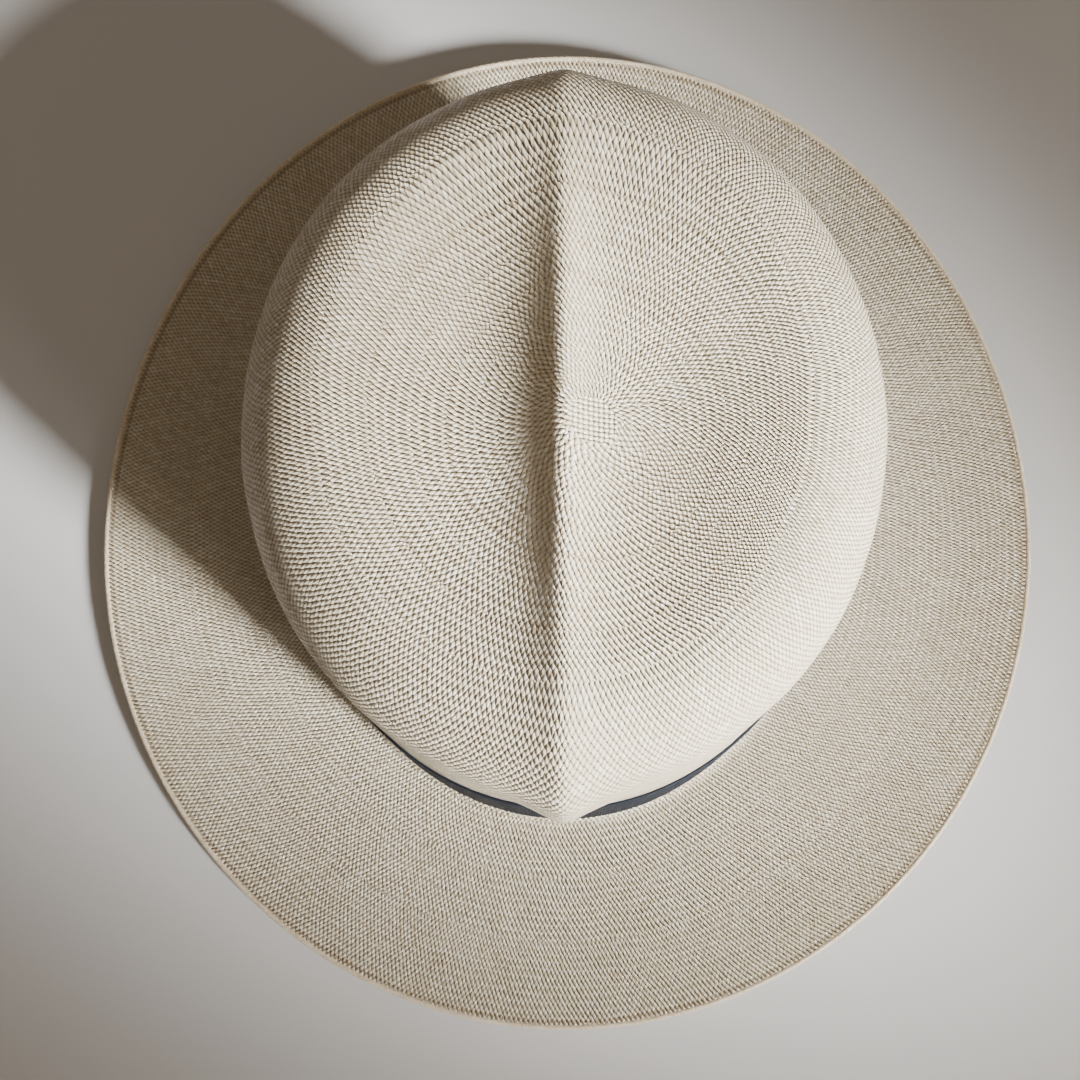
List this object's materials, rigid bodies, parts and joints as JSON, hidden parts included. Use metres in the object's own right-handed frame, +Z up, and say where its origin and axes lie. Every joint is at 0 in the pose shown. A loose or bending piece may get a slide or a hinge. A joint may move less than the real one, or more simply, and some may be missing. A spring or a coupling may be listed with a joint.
{
  "type": "straw fedora hat",
  "caption": "Woven straw hat with a ridged oval crown, a wide brim curled up behind, a ribbon band with a flat bow, and a leather sweatband.",
  "frame": {"origin": "on the surface that the brim rests on, under the middle of the hat's outline", "axes": "+Z up; the wearer faces -Y; +X is the wearer's left, where the bow is"},
  "size_m": [0.315, 0.3372, 0.1237],
  "materials": {
    "straw": "plain-woven toquilla straw, pale cream, soft sheen",
    "ribbon": "grosgrain ribbon, dark navy, fine cross ribs",
    "leather": "smooth tan leather, satin",
    "reed": "extruded plastic cord",
    "tape": "woven cotton tape, tan",
    "pale_thread": "waxed sewing thread, beige",
    "dark_thread": "sewing thread, navy"
  },
  "bodies": {
    "root": {"straw_body": "straw", "hatband": "ribbon", "bow_under_tail": "ribbon", "bow_front_wing": "ribbon", "bow_back_wing": "ribbon", "bow_knot": "ribbon", "sweatband": "leather", "reed": "reed", "reed_tape": "tape", "seam_patch": "tape", "sweatband_stitches": "pale_thread", "seam_stitches": "pale_thread", "hatband_tacks": "dark_thread", "bow_tacks": "dark_thread", "back_bow_loops": "ribbon", "back_bow_knot": "ribbon"}
  },
  "joints": []
}
